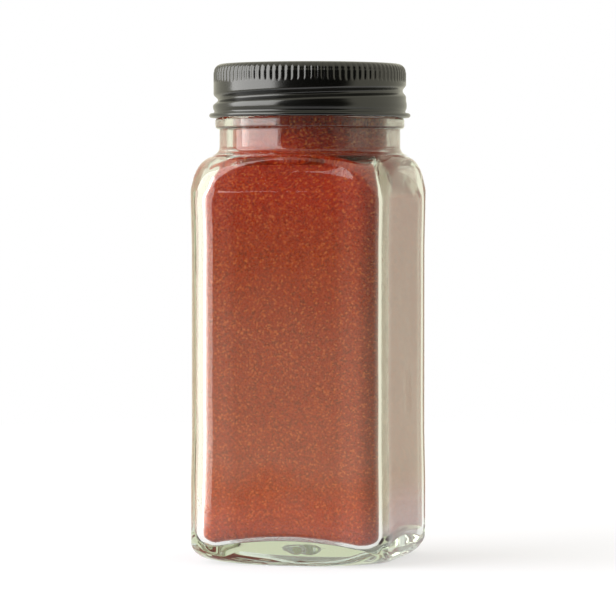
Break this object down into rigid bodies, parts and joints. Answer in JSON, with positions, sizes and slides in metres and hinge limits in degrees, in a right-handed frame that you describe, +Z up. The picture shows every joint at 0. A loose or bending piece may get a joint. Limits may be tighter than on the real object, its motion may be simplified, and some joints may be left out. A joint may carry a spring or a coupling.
{
  "type": "spice jar",
  "caption": "Square glass jar filled with red spice powder, with a shaker insert and a lined, knurled metal screw cap.",
  "frame": {"origin": "centre of the flat foot ring that the jar stands on", "axes": "+Z up along the axis of the neck and cap, -Y out of one flat body face (the face that the picture shows as the front), +X out of the face to its right"},
  "size_m": [0.0454, 0.0454, 0.1118],
  "materials": {
    "flint_glass": "clear moulded flint glass, very faint grey-green tint",
    "red_spice_powder": "fine ground red pepper, matt and granular",
    "natural_ldpe": "natural injection-moulded low-density polyethylene, slightly translucent",
    "liner_board": "pressed pulp disc with a coated face",
    "black_enamel_tinplate": "satin-gloss black baked enamel on tinplate"
  },
  "bodies": {
    "jar": {"glass_jar": "flint_glass", "spice_fill": "red_spice_powder", "sifter_insert": "natural_ldpe"},
    "liner": {"cap_liner": "liner_board"},
    "cap": {"cap_shell": "black_enamel_tinplate"}
  },
  "joints": [
    {"name": "closure_lift", "type": "slide", "parent": "jar", "child": "liner", "axis": [0, 0, 1], "range_m": [0, 0.01482]},
    {"name": "cap_turn", "type": "hinge", "parent": "liner", "child": "cap", "pos_m": [0, 0, 0.105], "axis": [0, 0, 1], "range_deg": [0, 1260]}
  ],
  "couplings": [
    {"joint": "closure_lift", "follows": "cap_turn", "m_per_rad": 0.0006737}
  ]
}
